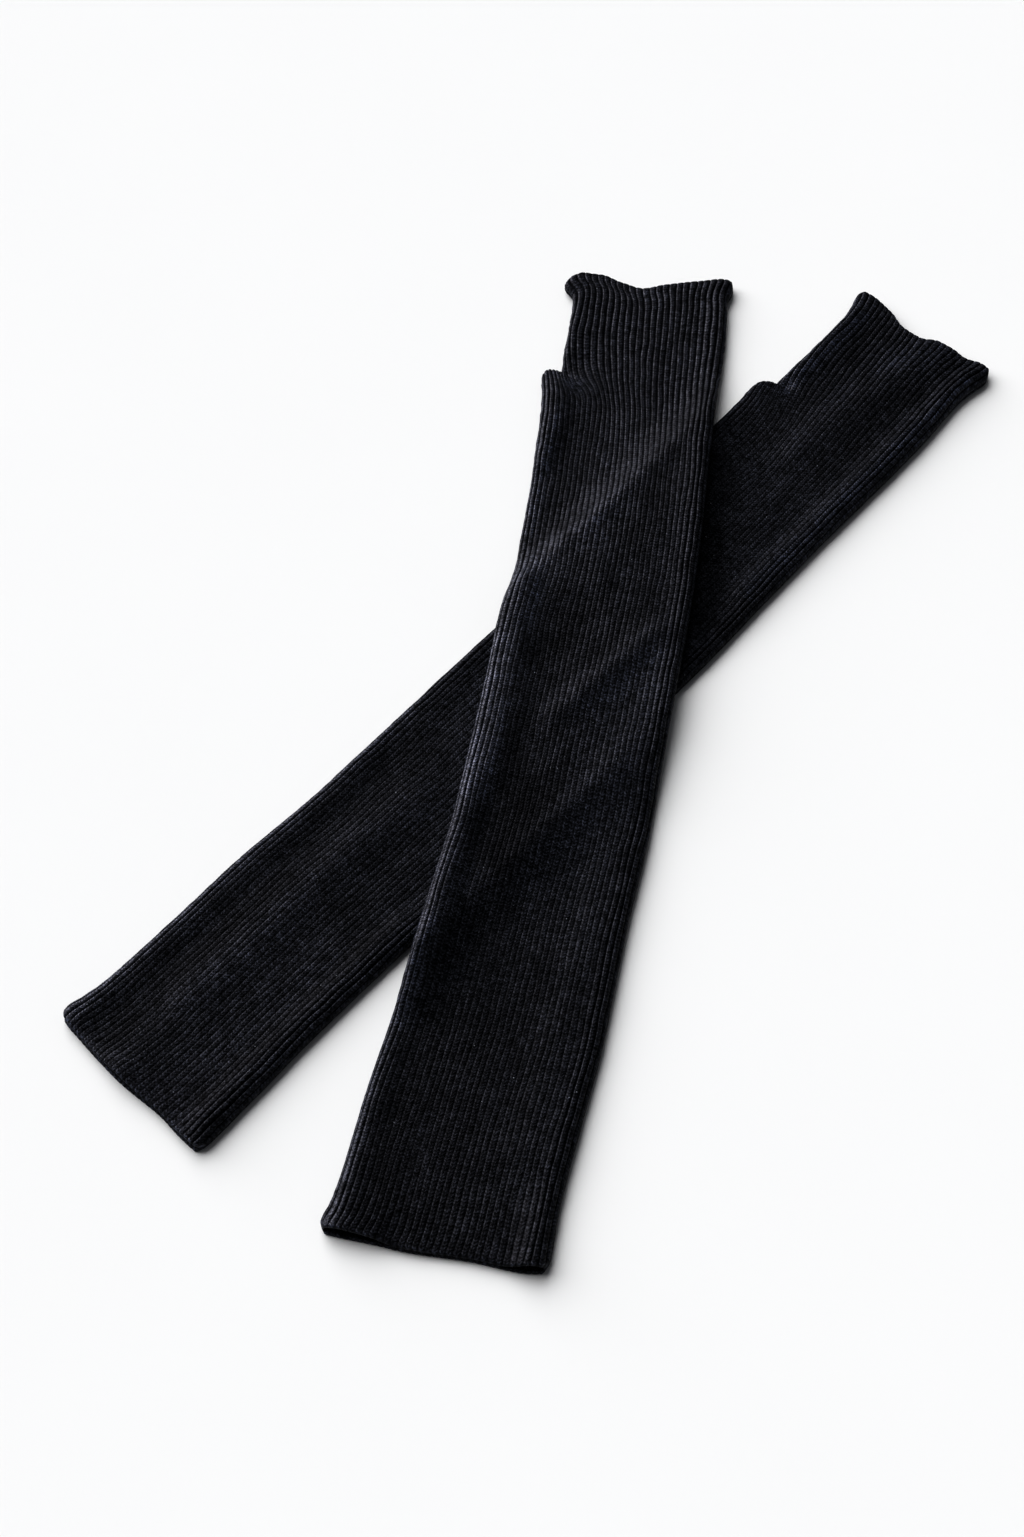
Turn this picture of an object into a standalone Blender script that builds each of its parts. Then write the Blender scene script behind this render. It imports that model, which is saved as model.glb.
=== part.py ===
"""A pair of rib-knit arm warmers, laid flat and crossed, one over the other.

Metres, +Z up. The origin is on the surface that the pair lies on, under the middle of its box.
Each arm warmer is one knitted tube in two stretches: the arm tube, from the elbow edge to the
thumb course, and the hand tube, from the thumb course to the hand edge. At the thumb course
some ribs are cast off and leave the thumb's mouth, so the hand tube is narrower.

Shapes are worked out in millimetres in each arm warmer's own frame: "along" runs from its elbow
edge to its hand edge, "across" to the right of that, and "height" up from the surface.
"""
import math
from collections import namedtuple

import bmesh
import bpy

MM = 0.001

# Cloth
WALL = 1.8
FOLD_RADIUS = 2.7
LEAST_HOLLOW = 0.4
MIDDLE_SAG = 0.8
SAG_REACH = 12.0
SEAM_GAP = 0.4
FOLD_JOIN = 4

# Ribs, counted from the left fold over the top face and back below
FACE_RIBS = 34
ARM_RIBS = 2 * FACE_RIBS
THUMB_RIBS = 8
HAND_RIBS = ARM_RIBS - 2 * THUMB_RIBS
RIB_RELIEF = 0.45
RIB_FADE_ANGLE = math.radians(60)
RIBS_ROUND_FOLD = 2.0
UNDERSIDE_STEP = 2.0
INNER_STEP = 4.0

# Thumb course: ribs of the lower face that show on top there, and how far they take to turn back
TURNED_RIBS = 4.0
TURN_REACH = 24.0

# Rings along a tube
RING_STEP = 16.0
END_RINGS = (4.0, 10.0)
HAND_RING_STEP = 11.0
THUMB_RINGS = (4.0, 8.0, 12.0, 17.0)
EDGE_REACH = 38.0
MOUTH_REACH = 26.0

# How the upper arm warmer rides over the lower one
RIDE_HEIGHT = 2 * FOLD_RADIUS + RIB_RELIEF + SEAM_GAP

KNIT_COLOUR = (0.0075, 0.008, 0.0105, 1.0)
KNIT_ROUGHNESS = 0.9
SHARP_ANGLE = math.radians(70)

Section = namedtuple("Section", "along left right")
Edge = namedtuple("Edge", "across offset")
Mouth = namedtuple("Mouth", "across rise")
Drape = namedtuple("Drape", "along margin reach")
Fold = namedtuple("Fold", "along across end_along end_across rise spread")
Warmer = namedtuple("Warmer", "name place heading thumb length sections hand_sections "
                    "elbow_edge thumb_edge hand_edge mouth folds rides")

# Flat outline of the upper arm warmer, a row for each section
OVER_SECTIONS = [
    Section(along=-4, left=-43.0, right=42.0),
    Section(along=0, left=-44.2, right=43.0),
    Section(along=8, left=-42.2, right=42.8),
    Section(along=20, left=-40.9, right=42.6),
    Section(along=60, left=-38.9, right=44.6),
    Section(along=100, left=-35.5, right=46.9),
    Section(along=150, left=-32.9, right=47.4),
    Section(along=200, left=-30.5, right=49.1),
    Section(along=250, left=-30.6, right=49.0),
    Section(along=300, left=-31.6, right=48.8),
    Section(along=330, left=-30.3, right=48.2),
    Section(along=350, left=-31.1, right=47.4),
    Section(along=380, left=-32.3, right=45.5),
    Section(along=400, left=-33.8, right=44.2),
    Section(along=420, left=-35.2, right=43.0),
    Section(along=436, left=-36.8, right=42.0),
    Section(along=446, left=-38.3, right=41.6),
    Section(along=453, left=-39.0, right=41.3),
    Section(along=458, left=-38.6, right=41.2),
]
OVER_HAND_SECTIONS = [
    Section(along=448, left=-29.9, right=41.4),
    Section(along=458, left=-31.0, right=41.2),
    Section(along=470, left=-31.9, right=40.8),
    Section(along=487, left=-32.4, right=39.8),
    Section(along=500, left=-33.0, right=38.5),
    Section(along=505, left=-33.8, right=37.7),
    Section(along=508, left=-35.4, right=37.9),
    Section(along=511, left=-38.0, right=38.7),
    Section(along=514, left=-39.2, right=39.3),
    Section(along=520, left=-38.2, right=39.4),
]

# Flat outline of the lower arm warmer
UNDER_SECTIONS = [
    Section(along=-4, left=-42.8, right=39.8),
    Section(along=3, left=-43.6, right=40.9),
    Section(along=10, left=-42.0, right=40.8),
    Section(along=28, left=-40.2, right=40.4),
    Section(along=60, left=-39.9, right=39.6),
    Section(along=100, left=-40.2, right=40.0),
    Section(along=150, left=-38.0, right=41.2),
    Section(along=200, left=-38.3, right=42.1),
    Section(along=250, left=-38.4, right=42.6),
    Section(along=300, left=-38.4, right=42.7),
    Section(along=350, left=-38.2, right=41.3),
    Section(along=400, left=-38.6, right=40.4),
    Section(along=440, left=-39.5, right=40.4),
    Section(along=450, left=-40.1, right=40.3),
    Section(along=456, left=-40.1, right=40.2),
    Section(along=460, left=-39.6, right=40.1),
]
UNDER_HAND_SECTIONS = [
    Section(along=450, left=-32.2, right=40.3),
    Section(along=462, left=-33.2, right=40.0),
    Section(along=475, left=-33.1, right=39.5),
    Section(along=490, left=-33.5, right=38.4),
    Section(along=503, left=-33.6, right=37.6),
    Section(along=512, left=-34.6, right=38.2),
    Section(along=520, left=-36.8, right=39.4),
    Section(along=526, left=-39.0, right=40.0),
    Section(along=530, left=-39.8, right=40.0),
]

# Edges: how far each runs past its straight course, from the left fold at -1 to the right at 1
OVER_ELBOW_EDGE = [
    Edge(across=-1.0, offset=1.3),
    Edge(across=-0.94, offset=-1.7),
    Edge(across=-0.5, offset=-2.8),
    Edge(across=-0.2, offset=-3.7),
    Edge(across=0.3, offset=-3.2),
    Edge(across=0.75, offset=-4.3),
    Edge(across=0.94, offset=-3.3),
    Edge(across=1.0, offset=0.0),
]
OVER_THUMB_EDGE = [
    Edge(across=-1.0, offset=-5.6),
    Edge(across=-0.95, offset=-4.5),
    Edge(across=-0.88, offset=-4.2),
    Edge(across=-0.78, offset=-3.4),
    Edge(across=-0.64, offset=-2.3),
    Edge(across=-0.4, offset=-0.6),
    Edge(across=0.0, offset=0.0),
    Edge(across=1.0, offset=0.0),
]
OVER_HAND_EDGE = [
    Edge(across=-1.0, offset=-5.5),
    Edge(across=-0.94, offset=-2.4),
    Edge(across=-0.8, offset=1.7),
    Edge(across=-0.6, offset=2.2),
    Edge(across=-0.35, offset=-1.2),
    Edge(across=-0.1, offset=-3.6),
    Edge(across=0.2, offset=1.2),
    Edge(across=0.5, offset=5.2),
    Edge(across=0.85, offset=8.8),
    Edge(across=0.96, offset=8.0),
    Edge(across=1.0, offset=4.4),
]
UNDER_ELBOW_EDGE = [
    Edge(across=-1.0, offset=5.6),
    Edge(across=-0.92, offset=3.2),
    Edge(across=-0.7, offset=1.3),
    Edge(across=-0.4, offset=-0.9),
    Edge(across=0.0, offset=-2.9),
    Edge(across=0.4, offset=-3.3),
    Edge(across=0.75, offset=-5.4),
    Edge(across=0.94, offset=-6.0),
    Edge(across=1.0, offset=-3.0),
]
UNDER_THUMB_EDGE = [
    Edge(across=-1.0, offset=-7.0),
    Edge(across=-0.94, offset=-4.9),
    Edge(across=-0.86, offset=-2.4),
    Edge(across=-0.78, offset=-1.7),
    Edge(across=-0.6, offset=-0.8),
    Edge(across=-0.4, offset=-0.2),
    Edge(across=0.0, offset=0.0),
    Edge(across=1.0, offset=0.0),
]
UNDER_HAND_EDGE = [
    Edge(across=-1.0, offset=3.6),
    Edge(across=-0.95, offset=6.2),
    Edge(across=-0.8, offset=6.5),
    Edge(across=-0.5, offset=3.6),
    Edge(across=-0.25, offset=-0.8),
    Edge(across=0.0, offset=-1.7),
    Edge(across=0.22, offset=1.9),
    Edge(across=0.42, offset=2.3),
    Edge(across=0.6, offset=1.1),
    Edge(across=0.78, offset=2.6),
    Edge(across=0.92, offset=1.6),
    Edge(across=1.0, offset=-3.8),
]

# Elbow mouths: how far the upper lip rises off the lower one
OVER_MOUTH = [
    Mouth(across=-1.0, rise=0.0),
    Mouth(across=-0.88, rise=1.5),
    Mouth(across=-0.64, rise=2.3),
    Mouth(across=-0.3, rise=0.6),
    Mouth(across=0.2, rise=0.0),
    Mouth(across=0.6, rise=0.3),
    Mouth(across=0.84, rise=2.1),
    Mouth(across=1.0, rise=0.3),
]
UNDER_MOUTH = [
    Mouth(across=-1.0, rise=0.0),
    Mouth(across=-0.5, rise=0.5),
    Mouth(across=-0.1, rise=1.8),
    Mouth(across=0.3, rise=0.5),
    Mouth(across=1.0, rise=0.2),
]

# Largest folds of the upper layer: soft ridges, and troughs where the rise is negative
OVER_FOLDS = [
    Fold(along=0, across=-36, end_along=104, end_across=-31, rise=0.8, spread=6),
    Fold(along=104, across=-29, end_along=190, end_across=-24.5, rise=2.4, spread=7.5),
    Fold(along=190, across=-24.5, end_along=216, end_across=-20.5, rise=2.4, spread=8),
    Fold(along=216, across=-20.5, end_along=268, end_across=-20, rise=2.2, spread=8),
    Fold(along=268, across=-20, end_along=318, end_across=-24, rise=2.0, spread=7),
    Fold(along=95, across=-17, end_along=225, end_across=-11, rise=-1.0, spread=8),
    Fold(along=272, across=-9, end_along=304, end_across=1, rise=-1.2, spread=8),
    Fold(along=45, across=30, end_along=130, end_across=33, rise=1.8, spread=12),
    Fold(along=130, across=33, end_along=225, end_across=38, rise=2.0, spread=11),
    Fold(along=250, across=3, end_along=300, end_across=36, rise=1.9, spread=6),
    Fold(along=330, across=-26, end_along=372, end_across=6, rise=0.7, spread=5),
    Fold(along=372, across=6, end_along=440, end_across=38, rise=0.6, spread=6),
    Fold(along=388, across=-24, end_along=432, end_across=-5, rise=-1.1, spread=9),
    Fold(along=326, across=8, end_along=352, end_across=-4, rise=0.9, spread=6),
    Fold(along=395, across=-29, end_along=446, end_across=-30, rise=1.3, spread=6),
]
UNDER_FOLDS = [
    Fold(along=10, across=-34, end_along=170, end_across=-32, rise=0.8, spread=6),
    Fold(along=45, across=-10, end_along=170, end_across=-6, rise=1.8, spread=11),
    Fold(along=10, across=32, end_along=120, end_across=31, rise=1.4, spread=5),
    Fold(along=430, across=0, end_along=512, end_across=10, rise=1.5, spread=10),
    Fold(along=345, across=31, end_along=512, end_across=31, rise=1.7, spread=5),
    Fold(along=405, across=-20, end_along=500, end_across=-13, rise=-0.7, spread=8),
    Fold(along=470, across=-29, end_along=512, end_across=-31, rise=0.8, spread=4),
]

# Where the upper arm warmer leaves the lower one's top, and how far it takes to come down
NEAR_DRAPE = [
    Drape(along=150, margin=4.0, reach=27.0),
    Drape(along=310, margin=4.0, reach=56.0),
]
FAR_DRAPE = [
    Drape(along=220, margin=7.0, reach=20.0),
    Drape(along=390, margin=6.0, reach=30.0),
]

UNDER = Warmer(
    name="under", place=(-167.9, -181.8), heading=50.16, thumb=458.0, length=525.0,
    sections=UNDER_SECTIONS, hand_sections=UNDER_HAND_SECTIONS, elbow_edge=UNDER_ELBOW_EDGE,
    thumb_edge=UNDER_THUMB_EDGE, hand_edge=UNDER_HAND_EDGE, mouth=UNDER_MOUTH,
    folds=UNDER_FOLDS, rides=False)
OVER = Warmer(
    name="over", place=(-50.3, -252.1), heading=79.57, thumb=455.0, length=516.0,
    sections=OVER_SECTIONS, hand_sections=OVER_HAND_SECTIONS, elbow_edge=OVER_ELBOW_EDGE,
    thumb_edge=OVER_THUMB_EDGE, hand_edge=OVER_HAND_EDGE, mouth=OVER_MOUTH,
    folds=OVER_FOLDS, rides=True)


def smooth_step(value):
    """0 up to value 0, 1 from value 1, and an even curve between."""
    value = min(max(value, 0.0), 1.0)
    return value * value * (3 - 2 * value)


def tangents(xs, ys):
    """Slopes of a smooth curve through the points that never overshoots them."""
    steps = [(y1 - y0) / (x1 - x0) for x0, x1, y0, y1 in zip(xs, xs[1:], ys, ys[1:])]
    inner = [2 * a * b / (a + b) if a * b > 0 else 0.0 for a, b in zip(steps, steps[1:])]
    return [steps[0]] + inner + [steps[-1]]


def read(rows, column, at):
    """Value of a table's column at a place in its first column, on a smooth curve."""
    xs = [row[0] for row in rows]
    ys = [getattr(row, column) for row in rows]
    at = min(max(at, xs[0]), xs[-1])
    i = max(k for k in range(len(xs) - 1) if xs[k] <= at)
    slopes = tangents(xs, ys)
    span = xs[i + 1] - xs[i]
    t = (at - xs[i]) / span
    rise = smooth_step(t)
    return (ys[i] + (ys[i + 1] - ys[i]) * rise
            + span * (slopes[i] * t * (1 - t) ** 2 - slopes[i + 1] * t * t * (1 - t)))


def segment_distance(along, across, fold):
    """Distance from a place on the cloth to a fold's line."""
    run = (fold.end_along - fold.along, fold.end_across - fold.across)
    offset = (along - fold.along, across - fold.across)
    t = (offset[0] * run[0] + offset[1] * run[1]) / (run[0] ** 2 + run[1] ** 2)
    t = min(max(t, 0.0), 1.0)
    return math.hypot(offset[0] - t * run[0], offset[1] - t * run[1])


def folds_rise(folds, along, across):
    """Rise of the soft ridges less the depth of the troughs; those that meet run into one."""
    ridge = trough = 0.0
    for fold in folds:
        distance = segment_distance(along, across, fold)
        part = (abs(fold.rise) * math.exp(-(distance / fold.spread) ** 2)) ** FOLD_JOIN
        if fold.rise > 0:
            ridge += part
        else:
            trough += part
    return ridge ** (1 / FOLD_JOIN) - trough ** (1 / FOLD_JOIN)


def top_change(warmer, along, across, left, right):
    """How far the upper layer stands above or below the height of the side folds."""
    from_side = min(across - left, right - across)
    change = -MIDDLE_SAG * smooth_step((from_side - FOLD_RADIUS) / SAG_REACH)
    change += folds_rise(warmer.folds, along, across)
    lowest = LEAST_HOLLOW + 2 * WALL - 2 * FOLD_RADIUS
    change = max(change, lowest)
    side = 2 * (across - left) / (right - left) - 1
    return change + read(warmer.mouth, "rise", side) * math.exp(-max(along, 0) / MOUTH_REACH)


def section_point(round_, left, right, inset):
    """Place, outward direction and upper share of a point round a flattened tube's section.

    round_ runs from 0 at the left fold over the top to 1 at the right fold, and on to 2 below.
    """
    straight = right - left - 2 * FOLD_RADIUS
    arc = math.pi * FOLD_RADIUS / 2
    share = arc / (straight + 2 * arc)
    face = round_ % 1.0
    below = round_ % 2.0 >= 1.0
    radius = FOLD_RADIUS - inset
    if face < share:
        turn = math.pi / 2 * face / share
        middle = -1
    elif face > 1 - share:
        turn = math.pi / 2 * (1 - face) / share
        middle = 1
    else:
        turn = math.pi / 2
        middle = 2 * (face - share) / (1 - 2 * share) - 1
    outward = math.cos(turn) * math.copysign(1, middle)
    upward = math.sin(turn)
    if below:
        middle, outward, upward = -middle, -outward, -upward
    across = (left + right) / 2 + middle * straight / 2 + radius * outward
    height = FOLD_RADIUS + radius * upward
    return across, height, outward, upward


def rib_height(rib, upward):
    """Relief of the knit, highest in the middle of each rib, none where the tube lies flat."""
    crest = 1 - abs(2 * (rib % 1.0) - 1)
    below = math.asin(min(max(-upward, 0.0), 1.0))
    return RIB_RELIEF * crest * (1 - smooth_step(below / RIB_FADE_ANGLE))


def to_plan(warmer, along, across):
    """Plan position of a place on an arm warmer."""
    heading = math.radians(warmer.heading)
    x = warmer.place[0] + along * math.cos(heading) + across * math.sin(heading)
    y = warmer.place[1] + along * math.sin(heading) - across * math.cos(heading)
    return x, y


def come_down(rows, along, outside):
    """Share of the ride lost at a distance outside the lower arm warmer: fast, then slowly."""
    margin = read(rows, "margin", along)
    t = min(max((outside - margin) / read(rows, "reach", along), 0.0), 1.0)
    return t ** 2 * (10 - 20 * t + 15 * t ** 2 - 4 * t ** 3)


def ride(x, y):
    """How far the upper arm warmer is lifted at a place in plan, over the lower one."""
    heading = math.radians(UNDER.heading)
    dx, dy = x - UNDER.place[0], y - UNDER.place[1]
    along = dx * math.cos(heading) + dy * math.sin(heading)
    across = dx * math.sin(heading) - dy * math.cos(heading)
    left = read(UNDER_SECTIONS, "left", along)
    right = read(UNDER_SECTIONS, "right", along)
    near = come_down(NEAR_DRAPE, along, across - right)
    far = come_down(FAR_DRAPE, along, left - across)
    return RIDE_HEIGHT * (1 - max(near, far))


def width_share(rows, along, across):
    """Place across a flat outline, from -1 at its left fold to 1 at its right fold."""
    left, right = read(rows, "left", along), read(rows, "right", along)
    return min(max(2 * (across - left) / (right - left) - 1, -1.0), 1.0)


def edge_offset(warmer, hand, along, across):
    """How far a course is drawn along by the edges near it."""
    rows = warmer.hand_sections if hand else warmer.sections
    end_edge = warmer.hand_edge if hand else warmer.elbow_edge
    from_end = warmer.length - along if hand else along
    end_part = read(end_edge, "offset", width_share(rows, along, across))
    thumb_part = read(warmer.thumb_edge, "offset",
                      width_share(warmer.sections, warmer.thumb, across))
    return (end_part * (1 - smooth_step(from_end / EDGE_REACH))
            + thumb_part * (1 - smooth_step(abs(along - warmer.thumb) / TURN_REACH)))


def cloth_point(warmer, hand, along, rib, inset):
    """A point of a tube's wall, in metres, at a course and a rib, inset from the outer face."""
    rows = warmer.hand_sections if hand else warmer.sections
    left, right = read(rows, "left", along), read(rows, "right", along)
    if hand:
        turned = TURNED_RIBS * (1 - smooth_step((along - warmer.thumb) / TURN_REACH))
        first, ribs = THUMB_RIBS - turned, HAND_RIBS
    else:
        first, ribs = 0.0, ARM_RIBS
    top_ribs = FACE_RIBS - first
    place = (rib - first) % ribs
    round_ = place / top_ribs if place < top_ribs else 1 + (place - top_ribs) / (ribs - top_ribs)
    across, height, outward, upward = section_point(round_, left, right, inset)
    if upward > 0:
        height += upward ** 2 * top_change(warmer, along, across, left, right)
    if inset == 0:
        relief = rib_height(rib, upward)
        across += relief * outward
        height += relief * upward
    x, y = to_plan(warmer, along + edge_offset(warmer, hand, along, across), across)
    if warmer.rides:
        height += ride(x, y)
    return x * MM, y * MM, height * MM


def ring_places(start, end, step, near, far):
    """Courses to draw along a tube: named distances from its ends and even steps between."""
    first, last = start + near[-1], end - far[-1]
    count = math.ceil((last - first) / step)
    middle = [first + (last - first) * i / count for i in range(1, count)]
    return ([start] + [start + n for n in near] + middle
            + [end - f for f in reversed(far)] + [end])


def arm_ribs_outer():
    """Half ribs over the top and round the folds, then wider steps along the flat underside."""
    first, last = -RIBS_ROUND_FOLD, FACE_RIBS + RIBS_ROUND_FOLD
    top = [first + i / 2 for i in range(int(2 * (last - first)) + 1)]
    count = int((ARM_RIBS + first - last) / UNDERSIDE_STEP)
    return top + [last + UNDERSIDE_STEP * i for i in range(1, count)]


def arm_ribs_inner():
    """Wide steps round the plain inside, closer at the folds."""
    fold = (-2.0, -1.0, 0.0, 1.0, 2.5)
    near = list(fold)
    far = [FACE_RIBS - f for f in reversed(fold)]
    count = round((far[0] - near[-1]) / INNER_STEP)
    middle = [near[-1] + (far[0] - near[-1]) * i / count for i in range(1, count)]
    below = [far[-1] + INNER_STEP * (i + 1) for i in range(int(FACE_RIBS / INNER_STEP) - 1)]
    return near + middle + far + below


def hand_ribs_outer():
    """Half ribs all round."""
    return [THUMB_RIBS + i / 2 for i in range(2 * HAND_RIBS)]


def hand_ribs_inner():
    """Every second rib round the plain inside."""
    return [THUMB_RIBS + i for i in range(0, HAND_RIBS, 2)]


def join_rings(mesh, first, second):
    """Quads between two rings with the same count of points."""
    for i in range(len(first)):
        j = (i + 1) % len(first)
        mesh.faces.new((first[i], first[j], second[j], second[i]))


def close_end(mesh, outer, inner, ribs):
    """Triangles over a cut end, between an outer and an inner ring with unlike counts.

    Each ring is a list of pairs, a rib place and its point, and ribs is the count all round.
    """
    outer = outer + [(outer[0][0] + ribs, outer[0][1])]
    inner = inner + [(inner[0][0] + ribs, inner[0][1])]
    a, b = 0, 0
    while a + 1 < len(outer) or b + 1 < len(inner):
        last_inner = b + 1 == len(inner)
        if last_inner or (a + 1 < len(outer) and outer[a + 1][0] <= inner[b + 1][0]):
            mesh.faces.new((outer[a][1], outer[a + 1][1], inner[b][1]))
            a += 1
        else:
            mesh.faces.new((outer[a][1], inner[b + 1][1], inner[b][1]))
            b += 1


def knit_material(name):
    """Matt near-black wool rib."""
    material = bpy.data.materials.new(name + "_knit")
    material.use_nodes = True
    shader = material.node_tree.nodes["Principled BSDF"]
    shader.inputs["Base Color"].default_value = KNIT_COLOUR
    shader.inputs["Roughness"].default_value = KNIT_ROUGHNESS
    return material


def tube(warmer, hand, collection):
    """One stretch of an arm warmer as a closed wall, ribbed outside and plain inside."""
    name = warmer.name + ("_hand_tube" if hand else "_arm_tube")
    if hand:
        places = ring_places(warmer.thumb + SEAM_GAP, warmer.length, HAND_RING_STEP,
                             THUMB_RINGS, END_RINGS)
        outer_ribs, inner_ribs, ribs = hand_ribs_outer(), hand_ribs_inner(), HAND_RIBS
    else:
        places = ring_places(0.0, warmer.thumb, RING_STEP, END_RINGS, END_RINGS)
        outer_ribs, inner_ribs, ribs = arm_ribs_outer(), arm_ribs_inner(), ARM_RIBS
    mesh = bmesh.new()
    outer = [[mesh.verts.new(cloth_point(warmer, hand, along, rib, 0.0)) for rib in outer_ribs]
             for along in places]
    inner = [[mesh.verts.new(cloth_point(warmer, hand, along, rib, WALL)) for rib in inner_ribs]
             for along in places]
    for here, there in zip(outer, outer[1:]):
        join_rings(mesh, here, there)
    for here, there in zip(inner, inner[1:]):
        join_rings(mesh, there, here)
    close_end(mesh, list(zip(outer_ribs, outer[-1])), list(zip(inner_ribs, inner[-1])), ribs)
    far_faces = set(mesh.faces)
    close_end(mesh, list(zip(outer_ribs, outer[0])), list(zip(inner_ribs, inner[0])), ribs)
    bmesh.ops.reverse_faces(mesh, faces=[f for f in mesh.faces if f not in far_faces])
    data = bpy.data.meshes.new(name)
    mesh.to_mesh(data)
    mesh.free()
    data.shade_smooth()
    data.set_sharp_from_angle(angle=SHARP_ANGLE)
    data.materials.append(knit_material(name))
    collection.objects.link(bpy.data.objects.new(name, data))


def main():
    for item in list(bpy.data.objects):
        bpy.data.objects.remove(item)
    collection = bpy.data.collections.new("pair_of_arm_warmers")
    bpy.context.scene.collection.children.link(collection)
    for warmer in (UNDER, OVER):
        for hand in (False, True):
            tube(warmer, hand, collection)


main()
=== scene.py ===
import math
from collections import namedtuple

import bpy
import numpy as np
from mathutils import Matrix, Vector


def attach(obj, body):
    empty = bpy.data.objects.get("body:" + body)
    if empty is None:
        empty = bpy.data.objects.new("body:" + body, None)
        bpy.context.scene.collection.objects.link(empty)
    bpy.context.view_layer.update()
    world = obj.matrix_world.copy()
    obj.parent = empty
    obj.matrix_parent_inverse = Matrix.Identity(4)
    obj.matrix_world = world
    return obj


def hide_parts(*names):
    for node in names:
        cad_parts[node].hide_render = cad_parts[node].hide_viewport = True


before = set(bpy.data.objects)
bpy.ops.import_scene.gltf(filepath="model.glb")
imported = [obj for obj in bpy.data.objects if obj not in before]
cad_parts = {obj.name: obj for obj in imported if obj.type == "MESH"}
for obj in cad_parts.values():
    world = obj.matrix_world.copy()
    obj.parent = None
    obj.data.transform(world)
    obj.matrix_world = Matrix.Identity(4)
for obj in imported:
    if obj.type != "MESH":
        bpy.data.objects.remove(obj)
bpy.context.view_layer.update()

MM = 0.001

# Sizes of the cloth in millimetres, and counts of its ribs, as the solids have them
WALL = 1.8
FOLD_RADIUS = 2.7
LEAST_HOLLOW = 0.4
MIDDLE_SAG = 0.8
SAG_REACH = 12.0
FACE_RIBS = 34
ARM_RIBS = 2 * FACE_RIBS
THUMB_RIBS = 8
HAND_RIBS = ARM_RIBS - 2 * THUMB_RIBS
RIB_RELIEF = 0.45
SEAM_GAP = 0.4
FOLD_JOIN = 4
TURN_REACH = 24.0
EDGE_REACH = 38.0
MOUTH_REACH = 26.0
RIDE_HEIGHT = 2 * FOLD_RADIUS + RIB_RELIEF + SEAM_GAP

# Form of the layers, finer than in the solids: gape of the mouths, hollows and their limits
MOUTH_GAIN = 1.4
HOLLOW_SOFTNESS = 0.15
HOLLOW_MARGIN = 0.15
HOLLOW_SHARE = 0.8
LEAST_HEIGHT = 0.02

# Relief of the cords: profile from gap to crest, where it is deepest, and where it fades
CREST = 0.5
VALLEY = -0.6
CORD_POWER = 3.8
SIDE_STAND = 0.4
SIDE_RIBS = 3.2
DEEP_GAPS = 31.5
DEEP_STAND = 0.7
FADE_ANGLE = math.radians(60)
BELOW_GAP_LOSS = 0.25
INNER_FADE = 1.2

# Rolled edges: height, waves from cord to cord, flatter cords beside them, and painted light on
# the elbow rim, which faces away from the light
RIM = 0.9
SCALLOP = 0.2
SCALLOP_REACH = 4.0
RIM_FADE = 5.0
RIM_FLATNESS = 0.8
RIM_PAINTED_LIGHT = 2.0

# Ribs near the thumb: how they crowd, lean and flatten towards its lip
LIP_BUNCHING = 0.68
ARM_FLOW = 0.85
FLOW_GAIN = 50.0
FLOW_RIBS = 14.0
LIP_FLATNESS = 0.75
LIP_FLAT_RIBS = 4.5
LIP_FLAT_BEFORE = 20.0
LIP_FLAT_PAST = 8.0

# The thumb's lip rises a little, and the hand tube comes out from behind it
LIP_RISE = 0.5
LIP_RISE_REACH = 7.0
LIP_MARGIN = 0.4
LIP_BLEND = 1.6
BEHIND_LIP = 1.2
BEHIND_REACH = 10.0
BEHIND_RIBS = 1.5
JUT_REACH = 20.0
SEAM_OVERLAP = 0.25
NEARLY_NONE = 0.02

# The ribs' sway grows over these millimetres from the thumb course and ribs from the wrap
SWAY_SEAM = 8.0
SWAY_WRAP = 1.5

# Grid of the mesh: steps on each rib, on top and below, and rings along a tube
TOP_STEPS = (0.0, 0.06, 0.17, 0.33, 0.5, 0.67, 0.83, 0.94)
BELOW_STEPS = (0.0, 0.25, 0.5, 0.75)
RIGHT_TURN_RIBS = 2
LEFT_TURN_RIBS = 3
RIM_RINGS = 5
INNER_RINGS = 14
ARM_RINGS = 206
HAND_RINGS = 62
FLAT_SAMPLES = 50

# Stitches: height of a course in millimetres, slant and sway of the V legs in courses
COURSE = 1.55
V_SLANT = 0.62
COURSE_SWAY = 1.6
SWAY_STRETCH = 0.31
GROOVE_WIDTH = 0.26

# Sizes of the material's noises, in patches a metre
FIBRE_SCALE = 1500.0
CLUMP_SCALE = 520.0
CLOUD_SCALE = 90.0
LINT_SCALE = 330.0

# Heights in the material's bump, in millimetres
STITCH_BUMP = 0.42
GROOVE_BUMP = 0.14
FIBRE_BUMP = 0.45
CLUMP_BUMP = 0.75

# Colours of the wool, its coat of shine and its lint, and the share of places with no lint; the
# darkest colour is painted shade in the gaps between cords, and also the darkest fibres
DARK_FIBRE_AND_GAP_SHADE_COLOUR = (0.0004, 0.0006, 0.0010, 1.0)
NAP_COLOUR = (0.0455, 0.0475, 0.0605, 1.0)
COAT_TINT = (0.8, 0.86, 1.0, 1.0)
SHEEN_TINT = (0.75, 0.82, 1.0, 1.0)
LINT_COLOUR = (0.22, 0.23, 0.25, 1.0)
LINT_FREE = 0.93

# The photograph's view, in metres, and its lens in millimetres
CAMERA_PLACE = (-0.0219, -0.7805, 0.9983)
CAMERA_AIM = (-0.0219, -0.0282, 0.0)
SENSOR_HEIGHT = 36.0
LENS = 70.27

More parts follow.
